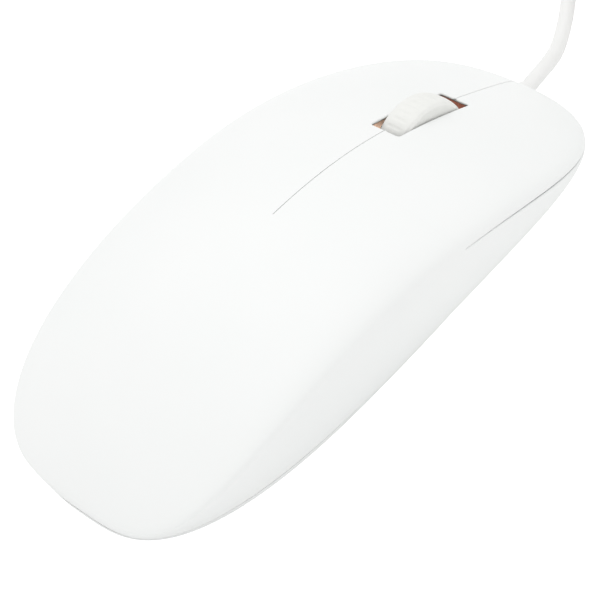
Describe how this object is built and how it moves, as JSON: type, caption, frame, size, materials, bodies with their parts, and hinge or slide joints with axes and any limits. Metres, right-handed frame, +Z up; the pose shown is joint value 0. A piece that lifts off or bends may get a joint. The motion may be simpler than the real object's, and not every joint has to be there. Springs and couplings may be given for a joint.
{
  "type": "computer mouse",
  "caption": "Slim arched wired mouse with two flexing keys, a scroll wheel that turns and clicks, an optical sensor and a coiled cable with its plug.",
  "frame": {"origin": "on the table under the middle of the housing, measured without the cable", "axes": "+Y towards the cable end and the keys, +X to the user's right, +Z up"},
  "size_m": [0.0692, 0.2142, 0.0258],
  "materials": {
    "housing": "satin moulded white plastic",
    "foot": "smooth dark low-friction pad",
    "label": "blank matt film label",
    "screw_steel": "zinc plated steel",
    "board": "brown-red solder resist on a paper laminate board",
    "black_plastic": "moulded black plastic",
    "plunger": "natural acetal",
    "encoder": "tan moulded plastic",
    "lens": "clear moulded acrylic",
    "led": "red tinted clear epoxy",
    "wheel_rubber": "soft matt white tyre",
    "cable": "soft white cable sheath",
    "tie": "black plastic covered wire tie",
    "plug_metal": "nickel plated folded steel",
    "plug_insert": "white moulded insulator"
  },
  "bodies": {
    "root": {"palm_cover": "housing", "bottom_case": "housing", "front_foot": "foot", "rear_foot": "foot", "blank_label": "label", "left_screw": "screw_steel", "right_screw": "screw_steel", "circuit_board": "board", "left_switch_body": "black_plastic", "right_switch_body": "black_plastic", "middle_switch_body": "black_plastic", "encoder_housing": "encoder", "wheel_bracket": "black_plastic", "optical_sensor": "black_plastic", "sensor_lens": "lens", "sensor_led": "led", "led_clip": "black_plastic", "capacitor": "black_plastic", "controller_chip": "black_plastic", "cable_header": "plunger", "header_plug": "plunger", "inner_cable": "cable", "strain_relief": "cable", "cable_lead": "cable", "cable_coil": "cable", "cable_tail": "cable", "coil_tie": "tie", "plug_overmould": "cable", "plug_shell": "plug_metal", "plug_tongue": "plug_insert"},
    "left_key": {"left_key": "housing"},
    "right_key": {"right_key": "housing"},
    "left_plunger": {"left_switch_plunger": "plunger"},
    "right_plunger": {"right_switch_plunger": "plunger"},
    "wheel_rocker": {"middle_switch_plunger": "plunger"},
    "wheel": {"wheel_tyre": "wheel_rubber", "wheel_hub": "plunger", "encoder_rotor": "plunger"}
  },
  "joints": [
    {"name": "left_click", "type": "hinge", "parent": "root", "child": "left_key", "pos_m": [-0.0135, 0.008, 0.0215], "axis": [-1, 0, 0], "range_deg": [0, 0.65], "stiffness_Nm_per_rad": 2, "springref_deg": -0.29},
    {"name": "right_click", "type": "hinge", "parent": "root", "child": "right_key", "pos_m": [0.0135, 0.008, 0.0215], "axis": [-1, 0, 0], "range_deg": [0, 0.65], "stiffness_Nm_per_rad": 2, "springref_deg": -0.29},
    {"name": "left_plunger_slide", "type": "slide", "parent": "root", "child": "left_plunger", "axis": [0, 0, -1], "range_m": [0, 0.00035]},
    {"name": "right_plunger_slide", "type": "slide", "parent": "root", "child": "right_plunger", "axis": [0, 0, -1], "range_m": [0, 0.00035]},
    {"name": "middle_click", "type": "hinge", "parent": "root", "child": "wheel_rocker", "pos_m": [-0.00745, 0.0291, 0.0129], "axis": [0, 1, 0], "range_deg": [0, 1], "stiffness_Nm_per_rad": 0.75, "springref_deg": -0.34},
    {"name": "wheel_spin", "type": "hinge", "parent": "wheel_rocker", "child": "wheel", "pos_m": [0, 0.0291, 0.0129], "axis": [1, 0, 0], "continuous": true}
  ],
  "couplings": [
    {"joint": "left_plunger_slide", "follows": "left_click", "m_per_rad": 0.0255},
    {"joint": "right_plunger_slide", "follows": "right_click", "m_per_rad": 0.0255}
  ]
}
